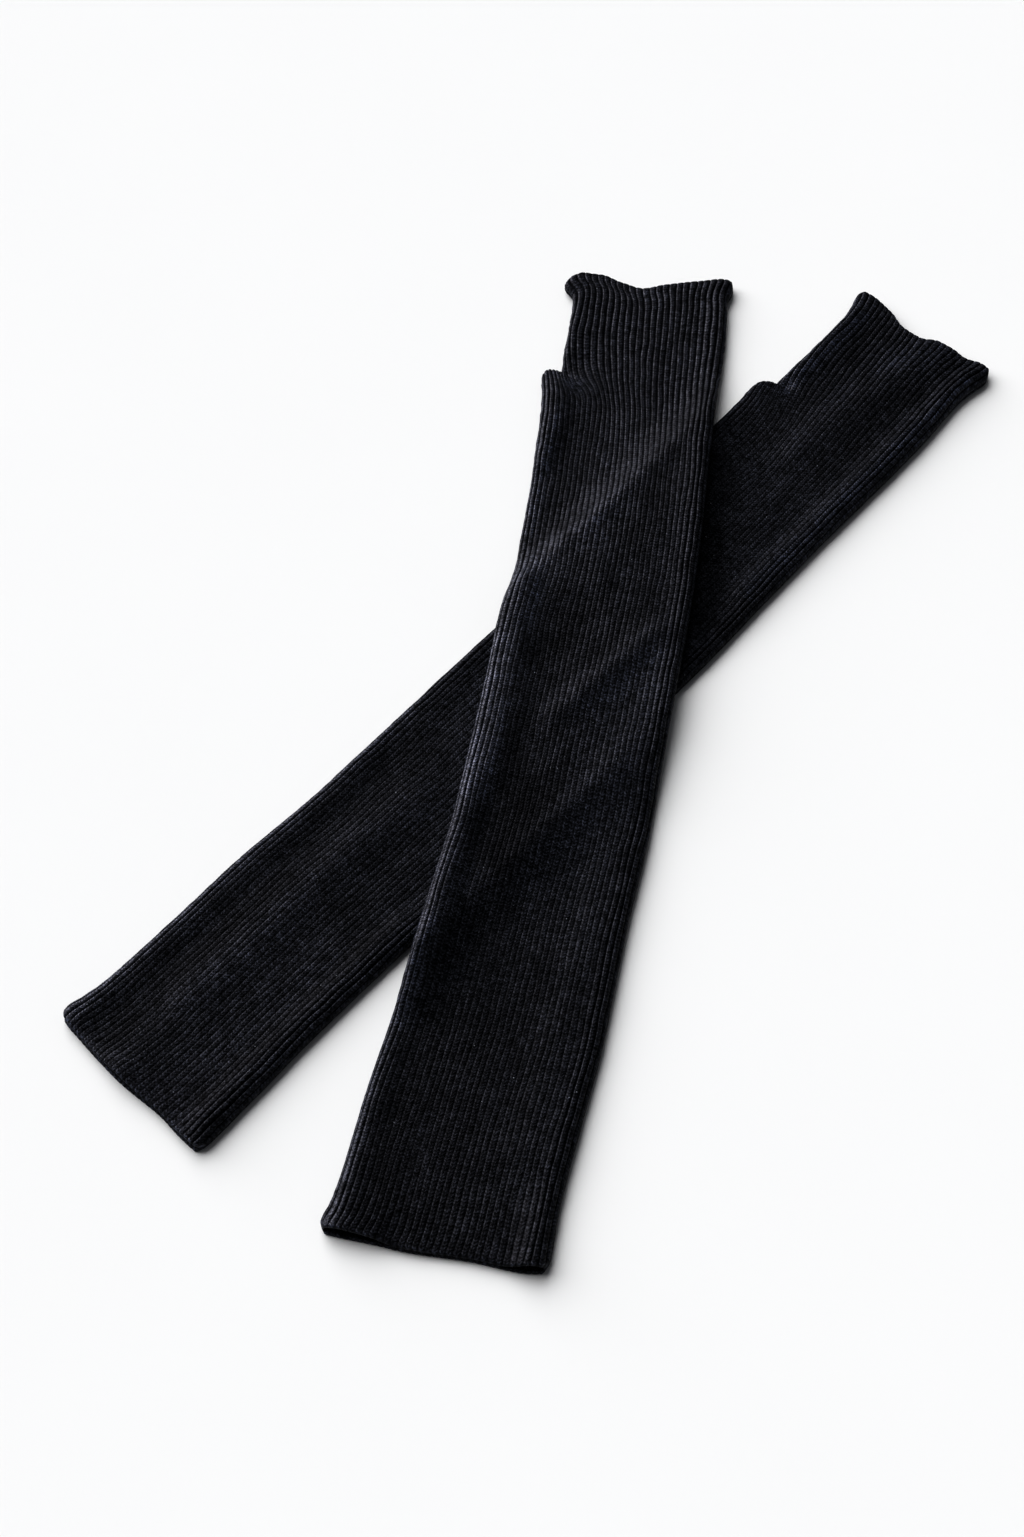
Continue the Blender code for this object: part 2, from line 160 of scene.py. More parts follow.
# Colours and strength of the light, the gamma of the picture, and the floor
VIEW_GAMMA = 0.77
MIDDLE_COLOUR = (0.92, 0.89, 1.0)
SURROUND_COLOUR = (0.93, 0.95, 1.0, 1.0)
SURROUND_STRENGTH = 0.14
FLOOR_HALF = 60.0
FLOOR_LOW = (0.785, 0.785, 0.785, 1.0)
FLOOR_HIGH = (0.795, 0.795, 0.795, 1.0)
MOTTLE_SCALE = 9.0

Section = namedtuple("Section", "along left right")
Edge = namedtuple("Edge", "across offset")
Mouth = namedtuple("Mouth", "across rise")
Drape = namedtuple("Drape", "along margin reach")
Fold = namedtuple("Fold", "along across end_along end_across rise spread")
Nap = namedtuple("Nap", "along across end_along end_across gain spread")
Relief = namedtuple("Relief", "along gain")
Noise = namedtuple("Noise", "seed gain x_size y_size shift")
Light = namedtuple("Light", "name energy angle place")
Warmer = namedtuple("Warmer", "name place heading thumb length sections hand_sections "
                    "elbow_edge thumb_edge hand_edge mouth folds creases below naps "
                    "relief flow seed rides")

# Seeded noises of the form: the waves go by along and across, the others by rib and along
WIDE_WAVES = Noise(seed=11, gain=0.22, x_size=17, y_size=9, shift=40)
SMALL_WAVES = Noise(seed=12, gain=0.10, x_size=7, y_size=5, shift=40)
STAND_PATCHES = Noise(seed=31, gain=0.35, x_size=5, y_size=40, shift=9)
WIDE_SWAY = Noise(seed=0, gain=0.16, x_size=3, y_size=23, shift=7)
SMALL_SWAY = Noise(seed=1, gain=0.10, x_size=1.4, y_size=9, shift=7)
LONG_LUMPS = Noise(seed=2, gain=0.25, x_size=1, y_size=6, shift=3)
SHORT_LUMPS = Noise(seed=3, gain=0.28, x_size=1, y_size=2.3, shift=3)
GAP_DEPTHS = Noise(seed=4, gain=0.35, x_size=1, y_size=30, shift=3)
LATTICE = 128

# Steps from one cord or gap to the next in the last three, so that each has its own
LONG_LUMP_STEP = 1.37
SHORT_LUMP_STEP = 2.11
GAP_STEP = 1.73

# Soft sources: strength, width in degrees, and direction from the middle of the pair
WIDE_LIGHT = Light(name="softbox", energy=5.3, angle=76, place=(-0.54, 0.54, 0.66))
MIDDLE_LIGHT = Light(name="softbox_middle", energy=7.0, angle=40, place=(-0.62, 0.70, 0.17))

# Outlines: the side folds' distance from the middle line, as the solids have them
OVER_SECTIONS = [
    Section(along=-4, left=-43.0, right=42.0),
    Section(along=0, left=-44.2, right=43.0),
    Section(along=8, left=-42.2, right=42.8),
    Section(along=20, left=-40.9, right=42.6),
    Section(along=60, left=-38.9, right=44.6),
    Section(along=100, left=-35.5, right=46.9),
    Section(along=150, left=-32.9, right=47.4),
    Section(along=200, left=-30.5, right=49.1),
    Section(along=250, left=-30.6, right=49.0),
    Section(along=300, left=-31.6, right=48.8),
    Section(along=330, left=-30.3, right=48.2),
    Section(along=350, left=-31.1, right=47.4),
    Section(along=380, left=-32.3, right=45.5),
    Section(along=400, left=-33.8, right=44.2),
    Section(along=420, left=-35.2, right=43.0),
    Section(along=436, left=-36.8, right=42.0),
    Section(along=446, left=-38.3, right=41.6),
    Section(along=453, left=-39.0, right=41.3),
    Section(along=458, left=-38.6, right=41.2),
]
OVER_HAND_SECTIONS = [
    Section(along=448, left=-29.9, right=41.4),
    Section(along=458, left=-31.0, right=41.2),
    Section(along=470, left=-31.9, right=40.8),
    Section(along=487, left=-32.4, right=39.8),
    Section(along=500, left=-33.0, right=38.5),
    Section(along=505, left=-33.8, right=37.7),
    Section(along=508, left=-35.4, right=37.9),
    Section(along=511, left=-38.0, right=38.7),
    Section(along=514, left=-39.2, right=39.3),
    Section(along=520, left=-38.2, right=39.4),
]
UNDER_SECTIONS = [
    Section(along=-4, left=-42.8, right=39.8),
    Section(along=3, left=-43.6, right=40.9),
    Section(along=10, left=-42.0, right=40.8),
    Section(along=28, left=-40.2, right=40.4),
    Section(along=60, left=-39.9, right=39.6),
    Section(along=100, left=-40.2, right=40.0),
    Section(along=150, left=-38.0, right=41.2),
    Section(along=200, left=-38.3, right=42.1),
    Section(along=250, left=-38.4, right=42.6),
    Section(along=300, left=-38.4, right=42.7),
    Section(along=350, left=-38.2, right=41.3),
    Section(along=400, left=-38.6, right=40.4),
    Section(along=440, left=-39.5, right=40.4),
    Section(along=450, left=-40.1, right=40.3),
    Section(along=456, left=-40.1, right=40.2),
    Section(along=460, left=-39.6, right=40.1),
]
UNDER_HAND_SECTIONS = [
    Section(along=450, left=-32.2, right=40.3),
    Section(along=462, left=-33.2, right=40.0),
    Section(along=475, left=-33.1, right=39.5),
    Section(along=490, left=-33.5, right=38.4),
    Section(along=503, left=-33.6, right=37.6),
    Section(along=512, left=-34.6, right=38.2),
    Section(along=520, left=-36.8, right=39.4),
    Section(along=526, left=-39.0, right=40.0),
    Section(along=530, left=-39.8, right=40.0),
]

# How far each edge is drawn along, by shares across: the solids' upper thumb edge is plainer
OVER_ELBOW_EDGE = [
    Edge(across=-1.0, offset=1.3),
    Edge(across=-0.94, offset=-1.7),
    Edge(across=-0.5, offset=-2.8),
    Edge(across=-0.2, offset=-3.7),
    Edge(across=0.3, offset=-3.2),
    Edge(across=0.75, offset=-4.3),
    Edge(across=0.94, offset=-3.3),
    Edge(across=1.0, offset=0.0),
]
OVER_THUMB_EDGE = [
    Edge(across=-1.0, offset=-5.6),
    Edge(across=-0.95, offset=-4.5),
    Edge(across=-0.88, offset=-4.2),
    Edge(across=-0.8, offset=-4.6),
    Edge(across=-0.72, offset=-6.2),
    Edge(across=-0.62, offset=-7.0),
    Edge(across=-0.5, offset=-4.5),
    Edge(across=-0.3, offset=-1.2),
    Edge(across=0.0, offset=0.0),
    Edge(across=1.0, offset=0.0),
]
OVER_HAND_EDGE = [
    Edge(across=-1.0, offset=-5.5),
    Edge(across=-0.94, offset=-2.4),
    Edge(across=-0.8, offset=1.7),
    Edge(across=-0.6, offset=2.2),
    Edge(across=-0.35, offset=-1.2),
    Edge(across=-0.1, offset=-3.6),
    Edge(across=0.2, offset=1.2),
    Edge(across=0.5, offset=5.2),
    Edge(across=0.85, offset=8.8),
    Edge(across=0.96, offset=8.0),
    Edge(across=1.0, offset=4.4),
]
UNDER_ELBOW_EDGE = [
    Edge(across=-1.0, offset=5.6),
    Edge(across=-0.92, offset=3.2),
    Edge(across=-0.7, offset=1.3),
    Edge(across=-0.4, offset=-0.9),
    Edge(across=0.0, offset=-2.9),
    Edge(across=0.4, offset=-3.3),
    Edge(across=0.75, offset=-5.4),
    Edge(across=0.94, offset=-6.0),
    Edge(across=1.0, offset=-3.0),
]
UNDER_THUMB_EDGE = [
    Edge(across=-1.0, offset=-7.0),
    Edge(across=-0.94, offset=-4.9),
    Edge(across=-0.86, offset=-2.4),
    Edge(across=-0.78, offset=-1.7),
    Edge(across=-0.6, offset=-0.8),
    Edge(across=-0.4, offset=-0.2),
    Edge(across=0.0, offset=0.0),
    Edge(across=1.0, offset=0.0),
]
UNDER_HAND_EDGE = [
    Edge(across=-1.0, offset=3.6),
    Edge(across=-0.95, offset=6.2),
    Edge(across=-0.8, offset=6.5),
    Edge(across=-0.5, offset=3.6),
    Edge(across=-0.25, offset=-0.8),
    Edge(across=0.0, offset=-1.7),
    Edge(across=0.22, offset=1.9),
    Edge(across=0.42, offset=2.3),
    Edge(across=0.6, offset=1.1),
    Edge(across=0.78, offset=2.6),
    Edge(across=0.92, offset=1.6),
    Edge(across=1.0, offset=-3.8),
]

# How far the elbow mouths gape, by shares across: the solids' upper one is plainer
OVER_MOUTH = [
    Mouth(across=-1.0, rise=0.0),
    Mouth(across=-0.88, rise=1.5),
    Mouth(across=-0.64, rise=2.3),
    Mouth(across=-0.3, rise=-0.2),
    Mouth(across=0.2, rise=-0.4),
    Mouth(across=0.6, rise=-0.1),
    Mouth(across=0.84, rise=2.1),
    Mouth(across=1.0, rise=0.3),
]
UNDER_MOUTH = [
    Mouth(across=-1.0, rise=0.0),
    Mouth(across=-0.5, rise=0.5),
    Mouth(across=-0.1, rise=1.8),
    Mouth(across=0.3, rise=0.5),
    Mouth(across=1.0, rise=0.2),
]

# Largest folds, as the solids have them
OVER_FOLDS = [
    Fold(along=0, across=-36, end_along=104, end_across=-31, rise=0.8, spread=6),
    Fold(along=104, across=-29, end_along=190, end_across=-24.5, rise=2.4, spread=7.5),
    Fold(along=190, across=-24.5, end_along=216, end_across=-20.5, rise=2.4, spread=8),
    Fold(along=216, across=-20.5, end_along=268, end_across=-20, rise=2.2, spread=8),
    Fold(along=268, across=-20, end_along=318, end_across=-24, rise=2.0, spread=7),
    Fold(along=95, across=-17, end_along=225, end_across=-11, rise=-1.0, spread=8),
    Fold(along=272, across=-9, end_along=304, end_across=1, rise=-1.2, spread=8),
    Fold(along=45, across=30, end_along=130, end_across=33, rise=1.8, spread=12),
    Fold(along=130, across=33, end_along=225, end_across=38, rise=2.0, spread=11),
    Fold(along=250, across=3, end_along=300, end_across=36, rise=1.9, spread=6),
    Fold(along=330, across=-26, end_along=372, end_across=6, rise=0.7, spread=5),
    Fold(along=372, across=6, end_along=440, end_across=38, rise=0.6, spread=6),
    Fold(along=388, across=-24, end_along=432, end_across=-5, rise=-1.1, spread=9),
    Fold(along=326, across=8, end_along=352, end_across=-4, rise=0.9, spread=6),
    Fold(along=395, across=-29, end_along=446, end_across=-30, rise=1.3, spread=6),
]
UNDER_FOLDS = [
    Fold(along=10, across=-34, end_along=170, end_across=-32, rise=0.8, spread=6),
    Fold(along=45, across=-10, end_along=170, end_across=-6, rise=1.8, spread=11),
    Fold(along=10, across=32, end_along=120, end_across=31, rise=1.4, spread=5),
    Fold(along=430, across=0, end_along=512, end_across=10, rise=1.5, spread=10),
    Fold(along=345, across=31, end_along=512, end_across=31, rise=1.7, spread=5),
    Fold(along=405, across=-20, end_along=500, end_across=-13, rise=-0.7, spread=8),
    Fold(along=470, across=-29, end_along=512, end_across=-31, rise=0.8, spread=4),
]

# How soon the upper one comes down beside the lower one: on the far side, sooner than its solid
NEAR_DRAPE = [
    Drape(along=150, margin=4.0, reach=27.0),
    Drape(along=310, margin=4.0, reach=56.0),
]
FAR_DRAPE = [
    Drape(along=220, margin=3.0, reach=22.0),
    Drape(along=390, margin=2.0, reach=32.0),
]

# Finer creases of the upper layer: soft troughs and ridges, uneven in length and depth
OVER_CREASES = [
    Fold(along=118, across=-22, end_along=200, end_across=-13, rise=-0.5, spread=7),
    Fold(along=200, across=2, end_along=222, end_across=15, rise=-1.0, spread=6),
    Fold(along=222, across=15, end_along=262, end_across=30, rise=-0.8, spread=6),
    Fold(along=300, across=-8, end_along=312, end_across=2, rise=-0.6, spread=5),
]
UNDER_CREASES = [
    Fold(along=60, across=14, end_along=96, end_across=20, rise=0.4, spread=5),
]
# Soft hollows of the hidden lower layer, seen from below
OVER_BELOW = [
    Fold(along=30, across=-14, end_along=120, end_across=-4, rise=0.9, spread=9),
    Fold(along=90, across=22, end_along=190, end_across=12, rise=0.7, spread=7),
    Fold(along=330, across=-18, end_along=404, end_across=14, rise=0.9, spread=8),
]
UNDER_BELOW = [
    Fold(along=24, across=10, end_along=88, end_across=22, rise=0.7, spread=8),
    Fold(along=120, across=-20, end_along=210, end_across=-8, rise=0.9, spread=9),
    Fold(along=300, across=16, end_along=372, end_across=6, rise=0.8, spread=7),
    Fold(along=398, across=-16, end_along=440, end_across=4, rise=0.6, spread=6),
]

# Painted light and shade on the colour: painted highlights (over 1) on fold slopes that face the
# light, painted shade (under 1) in troughs and on slopes turned away, and a painted cast shadow
# of the upper warmer on the lower one
OVER_PAINTED_SHADING = [
    Nap(along=0, across=0, end_along=96, end_across=4, gain=0.7, spread=44),
    Nap(along=16, across=-25, end_along=106, end_across=-20, gain=0.6, spread=10),
    Nap(along=0, across=-40, end_along=92, end_across=-36, gain=2.0, spread=4),
    Nap(along=92, across=-33, end_along=136, end_across=-30, gain=2.6, spread=6),
    Nap(along=136, across=-30, end_along=205, end_across=-26, gain=1.8, spread=7),
    Nap(along=205, across=-28, end_along=282, end_across=-31, gain=2.5, spread=7),
    Nap(along=200, across=-20, end_along=248, end_across=-20, gain=2.4, spread=4),
    Nap(along=262, across=-24, end_along=322, end_across=-27, gain=1.8, spread=8),
    Nap(along=176, across=-8, end_along=206, end_across=0, gain=0.4, spread=11),
    Nap(along=206, across=-10, end_along=244, end_across=-12, gain=0.5, spread=6),
    Nap(along=170, across=4, end_along=226, end_across=36, gain=1.5, spread=9),
    Nap(along=208, across=34, end_along=290, end_across=40, gain=1.4, spread=8),
    Nap(along=280, across=-8, end_along=306, end_across=3, gain=0.5, spread=9),
    Nap(along=256, across=16, end_along=288, end_across=37, gain=1.9, spread=7),
    Nap(along=267, across=-3, end_along=306, end_across=31, gain=0.6, spread=5.5),
    Nap(along=298, across=22, end_along=318, end_across=30, gain=0.7, spread=9),
    Nap(along=324, across=-24, end_along=337, end_across=-15, gain=1.9, spread=8),
    Nap(along=342, across=-8, end_along=349, end_across=6, gain=1.6, spread=5),
    Nap(along=352, across=-4, end_along=374, end_across=12, gain=1.8, spread=6),
    Nap(along=376, across=12, end_along=396, end_across=22, gain=1.3, spread=8),
    Nap(along=404, across=18, end_along=444, end_across=36, gain=0.7, spread=8),
    Nap(along=352, across=-28, end_along=425, end_across=-28, gain=2.6, spread=3.5),
    Nap(along=290, across=-19, end_along=318, end_across=-18, gain=2.3, spread=4),
    Nap(along=370, across=-31, end_along=440, end_across=-37, gain=1.5, spread=5),
    Nap(along=358, across=-20, end_along=395, end_across=-16, gain=0.8, spread=8),
    Nap(along=395, across=-18, end_along=432, end_across=-10, gain=0.8, spread=8),
    Nap(along=449, across=-34, end_along=443, end_across=-24, gain=1.7, spread=5),
    Nap(along=345, across=20, end_along=392, end_across=30, gain=0.75, spread=9),
    Nap(along=440, across=2, end_along=516, end_across=2, gain=1.2, spread=50),
]
# painted light and shade of the lower warmer
UNDER_PAINTED_SHADING = [
    Nap(along=0, across=-39, end_along=205, end_across=-37, gain=1.9, spread=5),
    Nap(along=12, across=-19, end_along=110, end_across=-18, gain=0.5, spread=6),
    Nap(along=110, across=-20, end_along=200, end_across=-19, gain=0.7, spread=9),
    Nap(along=10, across=28, end_along=112, end_across=27, gain=0.5, spread=4),
    Nap(along=44, across=-10, end_along=100, end_across=-8, gain=1.35, spread=9),
    Nap(along=150, across=-4, end_along=176, end_across=2, gain=1.25, spread=9),
    Nap(along=60, across=22, end_along=90, end_across=25, gain=1.2, spread=6),
    Nap(along=110, across=12, end_along=150, end_across=16, gain=0.8, spread=9),
    Nap(along=24, across=37, end_along=130, end_across=38, gain=1.4, spread=4),
    # painted cast shadow of the upper warmer on the lower one, beside its right edge
    Nap(along=324, across=28, end_along=400, end_across=-24, gain=0.4, spread=8),
    Nap(along=345, across=34.5, end_along=512, end_across=34.5, gain=2.6, spread=3),
    Nap(along=345, across=39, end_along=512, end_across=38, gain=1.5, spread=3),
    Nap(along=405, across=-20, end_along=512, end_across=-14, gain=0.8, spread=8),
    Nap(along=458, across=-27, end_along=516, end_across=-27, gain=2.8, spread=3.5),
    Nap(along=502, across=0, end_along=520, end_across=12, gain=1.8, spread=9),
    Nap(along=420, across=18, end_along=490, end_across=20, gain=0.75, spread=9),
    Nap(along=430, across=-39, end_along=456, end_across=-37, gain=1.3, spread=5),
    Nap(along=466, across=-32, end_along=525, end_across=-35, gain=1.5, spread=5),
]

# How far the cords stand out along each arm warmer
OVER_RELIEF = [
    Relief(along=0, gain=0.55),
    Relief(along=35, gain=0.26),
    Relief(along=250, gain=0.32),
    Relief(along=400, gain=0.55),
    Relief(along=455, gain=0.85),
    Relief(along=516, gain=0.9),
]
UNDER_RELIEF = [
    Relief(along=0, gain=0.28),
    Relief(along=30, gain=0.2),
    Relief(along=440, gain=0.28),
    Relief(along=495, gain=0.5),
    Relief(along=525, gain=0.8),
]

UNDER = Warmer(
    name="under", place=(-167.9, -181.8), heading=50.16, thumb=458.0, length=525.0,
    sections=UNDER_SECTIONS, hand_sections=UNDER_HAND_SECTIONS, elbow_edge=UNDER_ELBOW_EDGE,
    thumb_edge=UNDER_THUMB_EDGE, hand_edge=UNDER_HAND_EDGE, mouth=UNDER_MOUTH,
    folds=UNDER_FOLDS, creases=UNDER_CREASES, below=UNDER_BELOW, naps=UNDER_PAINTED_SHADING,
    relief=UNDER_RELIEF, flow=46, seed=200, rides=False)
OVER = Warmer(
    name="over", place=(-50.3, -252.1), heading=79.57, thumb=455.0, length=516.0,
    sections=OVER_SECTIONS, hand_sections=OVER_HAND_SECTIONS, elbow_edge=OVER_ELBOW_EDGE,
    thumb_edge=OVER_THUMB_EDGE, hand_edge=OVER_HAND_EDGE, mouth=OVER_MOUTH,
    folds=OVER_FOLDS, creases=OVER_CREASES, below=OVER_BELOW, naps=OVER_PAINTED_SHADING,
    relief=OVER_RELIEF, flow=24, seed=100, rides=True)


def smooth_step(value):
    """0 up to value 0, 1 from value 1, and an even curve between."""
    value = np.clip(value, 0.0, 1.0)
    return value * value * (3 - 2 * value)


def read(rows, column, at):
    """Values of a table's column at places in its first column, on a smooth curve."""
    xs = np.array([row[0] for row in rows], dtype=float)
    ys = np.array([getattr(row, column) for row in rows], dtype=float)
    steps = np.diff(ys) / np.diff(xs)
    product = steps[:-1] * steps[1:]
    total = np.where(product > 0, steps[:-1] + steps[1:], 1.0)
    inner = np.where(product > 0, 2 * product / total, 0.0)
    slopes = np.concatenate([steps[:1], inner, steps[-1:]])
    at = np.clip(at, xs[0], xs[-1])
    i = np.clip(np.searchsorted(xs, at, side="right") - 1, 0, len(xs) - 2)
    span = xs[i + 1] - xs[i]
    t = (at - xs[i]) / span
    return (ys[i] + (ys[i + 1] - ys[i]) * smooth_step(t)
            + span * (slopes[i] * t * (1 - t) ** 2 - slopes[i + 1] * t * t * (1 - t)))


def line_distance(along, across, row):
    """Distance from places on the cloth to the line of a fold or of a patch of nap."""
    run = (row.end_along - row.along, row.end_across - row.across)
    offset = (along - row.along, across - row.across)
    t = (offset[0] * run[0] + offset[1] * run[1]) / (run[0] ** 2 + run[1] ** 2)
    t = np.clip(t, 0.0, 1.0)
    return np.hypot(offset[0] - t * run[0], offset[1] - t * run[1])


def folds_rise(rows, along, across):
    """Rise of the soft ridges less the depth of the troughs; those that meet run into one."""
    ridge = np.zeros(np.broadcast(along, across).shape)
    trough = np.zeros(ridge.shape)
    for row in rows:
        part = abs(row.rise) * np.exp(-(line_distance(along, across, row) / row.spread) ** 2)
        if row.rise > 0:
            ridge += part ** FOLD_JOIN
        else:
            trough += part ** FOLD_JOIN
    return ridge ** (1 / FOLD_JOIN) - trough ** (1 / FOLD_JOIN)


def lattice_noise(seed, x, y):
    """Smooth noise from -1 to 1 on a square lattice of seeded values."""
    values = np.random.default_rng(seed).uniform(-1, 1, (LATTICE, LATTICE))
    i, j = np.floor(x).astype(int), np.floor(y).astype(int)
    u, v = smooth_step(x - i), smooth_step(y - j)
    i, j, next_i, next_j = i % LATTICE, j % LATTICE, (i + 1) % LATTICE, (j + 1) % LATTICE
    low = values[i, j] * (1 - u) + values[next_i, j] * u
    high = values[i, next_j] * (1 - u) + values[next_i, next_j] * u
    return low * (1 - v) + high * v


def noise(row, x, y, seed=0):
    """Smooth noise of a row's strength and sizes, its seed counted on from another."""
    return row.gain * lattice_noise(seed + row.seed, x / row.x_size + row.shift,
                                    y / row.y_size + row.shift)


def top_change(warmer, along, across, left, right):
    """How far the upper layer stands above or below the height of the side folds."""
    from_side = np.minimum(across - left, right - across)
    change = -MIDDLE_SAG * smooth_step((from_side - FOLD_RADIUS) / SAG_REACH)
    change = change + folds_rise(warmer.folds, along, across)
    change = change + folds_rise(warmer.creases, along, across)
    change = change + noise(WIDE_WAVES, along, across)
    change = change + noise(SMALL_WAVES, along, across)
    lowest = LEAST_HOLLOW + 2 * WALL - 2 * FOLD_RADIUS
    above_lowest = np.logaddexp(0.0, (change - lowest) / HOLLOW_SOFTNESS)
    change = lowest + above_lowest * HOLLOW_SOFTNESS
    side = 2 * (across - left) / (right - left) - 1
    lift = np.exp(-np.maximum(along, 0) / MOUTH_REACH)
    return change + MOUTH_GAIN * read(warmer.mouth, "rise", side) * lift


def section_point(round_, left, right, inset):
    """Place, outward direction and upper share of points round a flattened tube's section."""
    straight = right - left - 2 * FOLD_RADIUS
    arc = math.pi * FOLD_RADIUS / 2
    share = arc / (straight + 2 * arc)
    face = round_ % 1.0
    below = round_ % 2.0 >= 1.0
    radius = FOLD_RADIUS - inset
    near, far = face < share, face > 1 - share
    turn = np.where(near, math.pi / 2 * face / share,
                    np.where(far, math.pi / 2 * (1 - face) / share, math.pi / 2))
    middle = np.where(near, -1.0,
                      np.where(far, 1.0, 2 * (face - share) / (1 - 2 * share) - 1))
    outward = np.cos(turn) * np.sign(middle)
    upward = np.sin(turn)
    flip = np.where(below, -1.0, 1.0)
    middle, outward, upward = middle * flip, outward * flip, upward * flip
    across = (left + right) / 2 + middle * straight / 2 + radius * outward
    height = FOLD_RADIUS + radius * upward
    return across, height, outward, upward


def to_plan(warmer, along, across):
    """Plan position of places on an arm warmer."""
    heading = math.radians(warmer.heading)
    x = warmer.place[0] + along * math.cos(heading) + across * math.sin(heading)
    y = warmer.place[1] + along * math.sin(heading) - across * math.cos(heading)
    return x, y


def from_plan(warmer, x, y):
    """Places along and across an arm warmer of plan positions."""
    heading = math.radians(warmer.heading)
    dx, dy = x - warmer.place[0], y - warmer.place[1]
    return (dx * math.cos(heading) + dy * math.sin(heading),
            dx * math.sin(heading) - dy * math.cos(heading))


def come_down(rows, along, outside):
    """Share of the ride lost at a distance outside the lower arm warmer: fast, then slowly."""
    margin = read(rows, "margin", along)
    t = np.clip((outside - margin) / read(rows, "reach", along), 0.0, 1.0)
    return t ** 2 * (10 - 20 * t + 15 * t ** 2 - 4 * t ** 3)


def ride(x, y):
    """How far the upper arm warmer is lifted at places in plan, over the lower one."""
    along, across = from_plan(UNDER, x, y)
    left = read(UNDER_SECTIONS, "left", along)
    right = read(UNDER_SECTIONS, "right", along)
    near = come_down(NEAR_DRAPE, along, across - right)
    far = come_down(FAR_DRAPE, along, left - across)
    return RIDE_HEIGHT * (1 - np.maximum(near, far))


def width_share(rows, along, across):
    """Place across a flat outline, from -1 at its left fold to 1 at its right fold."""
    left, right = read(rows, "left", along), read(rows, "right", along)
    return np.clip(2 * (across - left) / (right - left) - 1, -1.0, 1.0)


def edge_offset(warmer, hand, along, across):
    """How far a course is drawn along by the edges near it."""
    rows = warmer.hand_sections if hand else warmer.sections
    end_edge = warmer.hand_edge if hand else warmer.elbow_edge
    from_end = warmer.length - along if hand else along
    end_part = read(end_edge, "offset", width_share(rows, along, across))
    thumb_part = read(warmer.thumb_edge, "offset",
                      width_share(warmer.sections, np.full_like(across, warmer.thumb), across))
    return (end_part * (1 - smooth_step(from_end / EDGE_REACH))
            + thumb_part * (1 - smooth_step(np.abs(along - warmer.thumb) / TURN_REACH)))


def arc_length(left, right):
    """Length of a section's upper face, fold to fold."""
    return right - left - 2 * FOLD_RADIUS + math.pi * FOLD_RADIUS


def flow_reach(warmer, from_lip):
    """How far from the thumb course a rib starts to lean, by its ribs from the lip."""
    return warmer.flow + FLOW_GAIN * smooth_step(from_lip / FLOW_RIBS)


def arm_round(warmer, rib, along):
    """Place round an arm tube of each rib: even, but bunched at the thumb's lips."""
    from_left = np.minimum(rib, ARM_RIBS - rib)
    reach = ARM_FLOW * flow_reach(warmer, from_left - THUMB_RIBS)
    near = np.clip(1 - (warmer.thumb - along) / reach, 0.0, 1.0) ** 2
    rest = (FACE_RIBS - THUMB_RIBS * LIP_BUNCHING) / (FACE_RIBS - THUMB_RIBS)
    bunched = np.where(from_left < THUMB_RIBS, LIP_BUNCHING * from_left,
                       LIP_BUNCHING * THUMB_RIBS + (from_left - THUMB_RIBS) * rest)
    place = from_left + near * (bunched - from_left)
    return np.where(rib <= FACE_RIBS, place, ARM_RIBS - place) / FACE_RIBS


def hand_round(warmer, rib, along):
    """Place round a hand tube of each rib: ribs from below show on top at its start."""
    thumb = warmer.thumb
    arm_left = read(warmer.sections, "left", thumb)
    arm_length = arc_length(arm_left, read(warmer.sections, "right", thumb))
    left = read(warmer.hand_sections, "left", thumb)
    length = arc_length(left, read(warmer.hand_sections, "right", thumb))
    lip = LIP_BUNCHING * THUMB_RIBS * arm_length / FACE_RIBS - (left - arm_left)
    turned = lip / length
    face = FACE_RIBS - THUMB_RIBS
    top = (rib - THUMB_RIBS) / face
    low = (rib - FACE_RIBS) / face
    at_start = np.where(rib <= FACE_RIBS, turned + top * (1 - turned), 1 + low * (1 + turned))
    at_end = np.where(rib <= FACE_RIBS, top, 1 + low)
    from_left = np.minimum(rib - THUMB_RIBS, ARM_RIBS - THUMB_RIBS - rib)
    settled = 1 - np.clip(1 - (along - thumb) / flow_reach(warmer, from_left), 0.0, 1.0) ** 2
    return (at_start + settled * (at_end - at_start)) % 2.0


def cord_shape(rib):
    """Profile of the knit over each rib: 1 on its crest, 0 in the gap between two."""
    return 1 - np.abs(2 * (rib % 1.0) - 1) ** CORD_POWER


def first_rib(hand):
    """The rib at a tube's left fold, counted from the left fold of the arm."""
    return THUMB_RIBS if hand else 0


def from_wrap(hand, rib):
    """Ribs from the left fold of a tube, either way round."""
    start = first_rib(hand)
    return np.minimum(rib - start, ARM_RIBS - start - rib)


def cord_stand(warmer, hand, rib, along):
    """How far the cords stand out: most at the side folds, less in the middle of the arm."""
    from_fold = np.minimum(np.abs(rib - FACE_RIBS), from_wrap(hand, rib))
    patches = 1 + noise(STAND_PATCHES, rib, along)
    stand = (read(warmer.relief, "gain", along) * patches
             + SIDE_STAND * np.exp(-(from_fold / SIDE_RIBS) ** 2)
             + DEEP_STAND * np.exp(-(rib - DEEP_GAPS) ** 2))
    # the cords stretch flat where they end at the thumb's mouth
    from_lip = np.minimum(rib, ARM_RIBS - rib) - (THUMB_RIBS - 1)
    past = along - warmer.thumb
    reach = np.where(past > 0, LIP_FLAT_PAST, LIP_FLAT_BEFORE)
    lip = np.exp(-(from_lip / LIP_FLAT_RIBS) ** 2 - (past / reach) ** 2)
    return stand * (1 - LIP_FLATNESS * lip)


